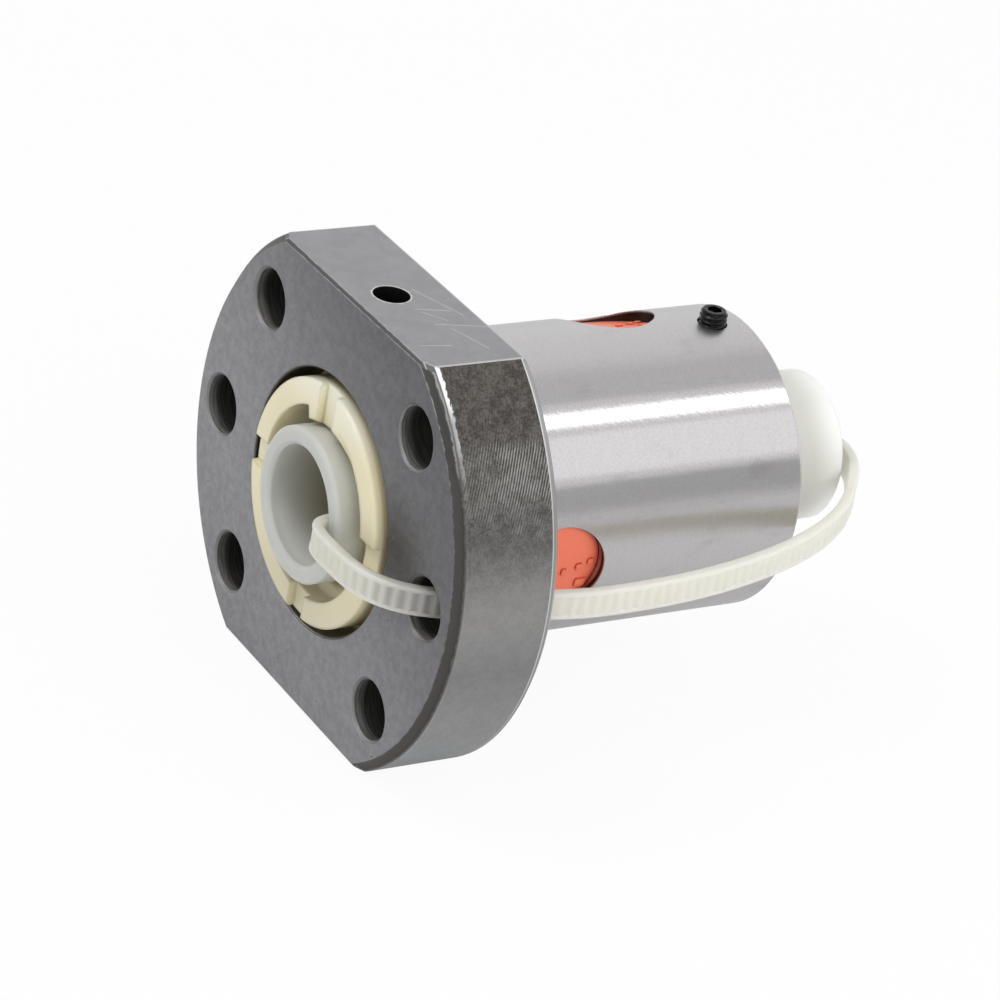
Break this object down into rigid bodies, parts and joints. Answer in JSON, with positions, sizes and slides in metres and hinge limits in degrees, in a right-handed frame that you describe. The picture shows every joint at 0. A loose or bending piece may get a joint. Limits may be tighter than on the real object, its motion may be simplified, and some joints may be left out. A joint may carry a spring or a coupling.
{
  "type": "ball screw nut",
  "caption": "Flanged anti-backlash ball screw nut with flats, bolt holes, ball returns and wipers, carried on a plastic transport sleeve that a cable tie holds in.",
  "frame": {"origin": "where the screw axis meets the back face of the flange, at the middle of the bolt holes", "axes": "+Y along the screw axis from the flange to the rear end of the body, +Z square to the two flats of the flange, +X through a bolt hole"},
  "size_m": [0.048, 0.0607, 0.04],
  "materials": {
    "ground_steel": "ground and lightly oiled",
    "bearing_steel": "polished",
    "black_steel": "black oxide",
    "return_plastic": "moulded, coral",
    "wiper_plastic": "moulded, cream",
    "sleeve_plastic": "moulded, milky",
    "tie_nylon": "moulded, natural"
  },
  "bodies": {
    "nut": {"ball_1_01": "bearing_steel", "ball_1_02": "bearing_steel", "ball_1_03": "bearing_steel", "ball_1_04": "bearing_steel", "ball_1_05": "bearing_steel", "ball_1_06": "bearing_steel", "ball_1_07": "bearing_steel", "ball_1_08": "bearing_steel", "ball_1_09": "bearing_steel", "ball_1_10": "bearing_steel", "ball_1_11": "bearing_steel", "ball_1_12": "bearing_steel", "ball_1_13": "bearing_steel", "ball_1_14": "bearing_steel", "ball_1_15": "bearing_steel", "ball_1_16": "bearing_steel", "ball_2_01": "bearing_steel", "ball_2_02": "bearing_steel", "ball_2_03": "bearing_steel", "ball_2_04": "bearing_steel", "ball_2_05": "bearing_steel", "ball_2_06": "bearing_steel", "ball_2_07": "bearing_steel", "ball_2_08": "bearing_steel", "ball_2_09": "bearing_steel", "ball_2_10": "bearing_steel", "ball_2_11": "bearing_steel", "ball_2_12": "bearing_steel", "ball_2_13": "bearing_steel", "ball_2_14": "bearing_steel", "ball_2_15": "bearing_steel", "ball_2_16": "bearing_steel", "ball_3_01": "bearing_steel", "ball_3_02": "bearing_steel", "ball_3_03": "bearing_steel", "ball_3_04": "bearing_steel", "ball_3_05": "bearing_steel", "ball_3_06": "bearing_steel", "ball_3_07": "bearing_steel", "ball_3_08": "bearing_steel", "ball_3_09": "bearing_steel", "ball_3_10": "bearing_steel", "ball_3_11": "bearing_steel", "ball_3_12": "bearing_steel", "ball_3_13": "bearing_steel", "ball_3_14": "bearing_steel", "ball_3_15": "bearing_steel", "ball_3_16": "bearing_steel", "cable_tie": "tie_nylon", "deflector_1": "return_plastic", "deflector_2": "return_plastic", "deflector_3": "return_plastic", "front_wiper": "wiper_plastic", "nut_body": "ground_steel", "rear_wiper": "wiper_plastic", "wiper_set_screw": "black_steel"},
    "sleeve": {"transport_sleeve": "sleeve_plastic"}
  },
  "joints": [
    {"name": "sleeve_spin", "type": "hinge", "parent": "nut", "child": "sleeve", "pos_m": [0, 0, 0], "axis": [0, 1, 0], "continuous": true}
  ]
}
